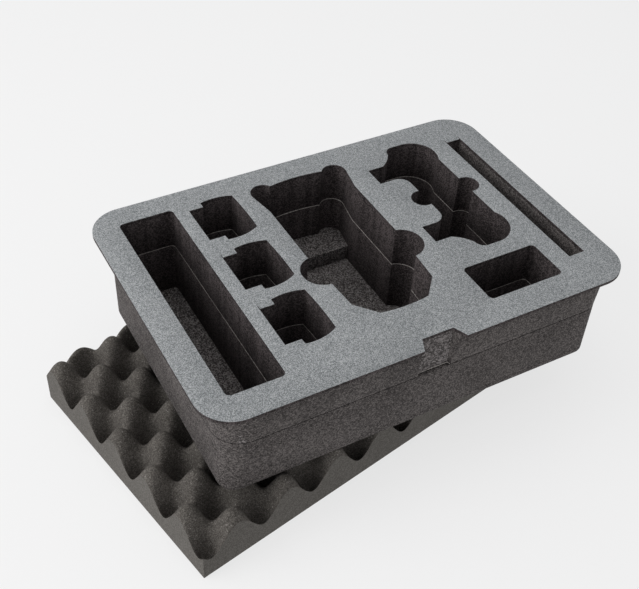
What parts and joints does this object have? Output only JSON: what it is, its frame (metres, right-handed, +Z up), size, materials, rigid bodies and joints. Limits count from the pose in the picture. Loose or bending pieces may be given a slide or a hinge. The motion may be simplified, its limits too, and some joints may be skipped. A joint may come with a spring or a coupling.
{
  "type": "drone case foam insert",
  "caption": "Laminated foam tray with cut pockets for a folded drone, batteries and controller, resting on a convoluted lid pad.",
  "frame": {"origin": "the point of the floor under the middle of the tray", "axes": "+Z up; +X along the tray's long side, from the long pocket towards the thin slot; +Y towards the tray's back edge, away from the finger notch"},
  "size_m": [0.4884, 0.3256, 0.1573],
  "materials": {
    "sheet_foam": "matt fine-cell foam skin",
    "block_foam": "matt open cut of closed-cell foam",
    "seam_adhesive": "satin fused film",
    "pad_foam": "matt open-cell foam"
  },
  "bodies": {
    "pad": {"lid_pad": "pad_foam"},
    "tray": {"top_sheet": "sheet_foam", "upper_layer": "block_foam", "seam_film": "seam_adhesive", "lower_layer": "block_foam", "base_sheet": "block_foam", "drone_riser": "block_foam"}
  },
  "joints": [
    {"name": "tray_lift", "type": "slide", "parent": "pad", "child": "tray", "axis": [0, 0, 1], "range_m": [0, 0.15]}
  ]
}
